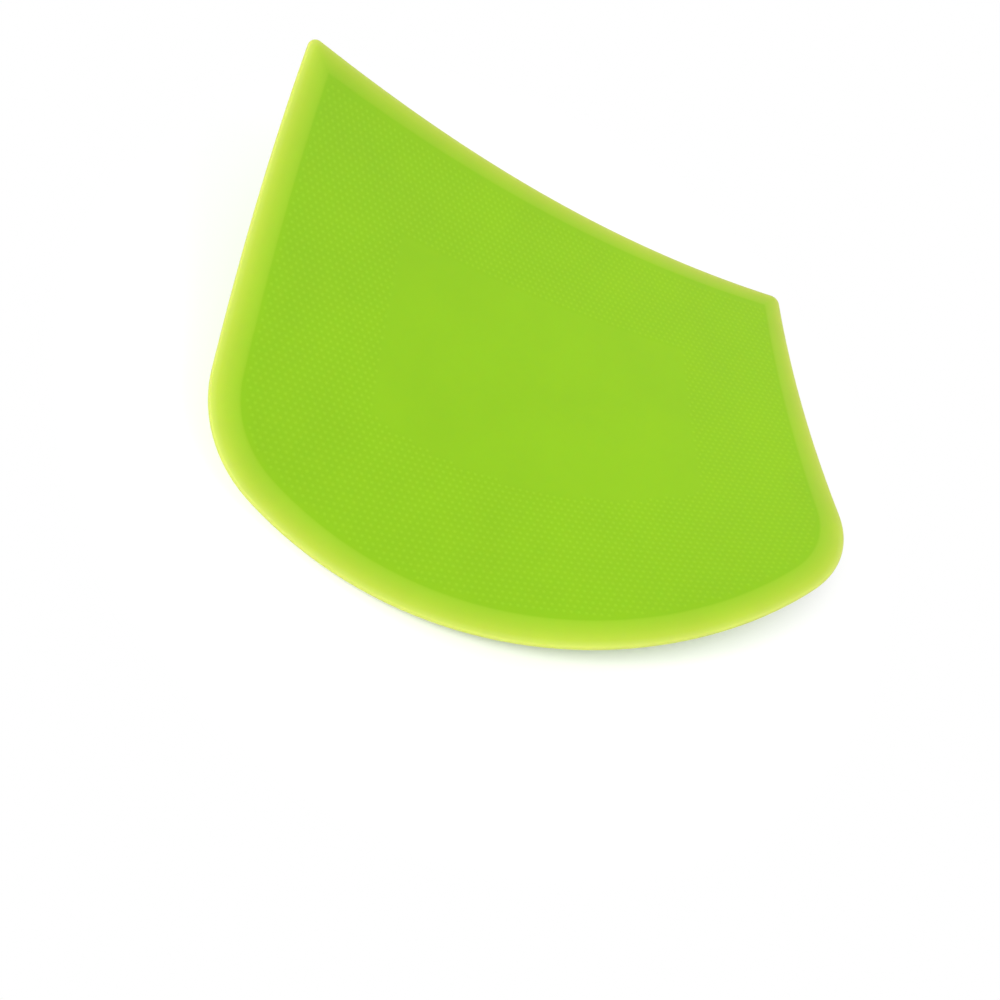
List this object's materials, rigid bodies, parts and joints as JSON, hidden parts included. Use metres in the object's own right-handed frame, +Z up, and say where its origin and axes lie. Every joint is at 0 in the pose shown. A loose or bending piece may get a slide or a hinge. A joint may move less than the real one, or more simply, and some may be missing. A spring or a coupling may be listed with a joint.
{
  "type": "bowl scraper",
  "caption": "Flexible bowl scraper: a thin rounded silicone blade with a straight top edge and a curved scraping edge, shown flexed into a shallow trough.",
  "frame": {"origin": "on the table, under the middle of the flexed blade's bounding box; the blade lies on its rounded back", "axes": "+X along the blade's width, +Y towards its straight top edge, +Z up, on the hollow side"},
  "size_m": [0.1447, 0.121, 0.0285],
  "materials": {
    "lime_silicone": "satin lime-green silicone rubber, slightly translucent, with a field of fine raised dots inside a smooth lip",
    "natural_nylon": "smooth natural-white nylon sheet"
  },
  "bodies": {
    "root": {"silicone_blade": "lime_silicone", "core_plate": "natural_nylon"}
  },
  "joints": []
}
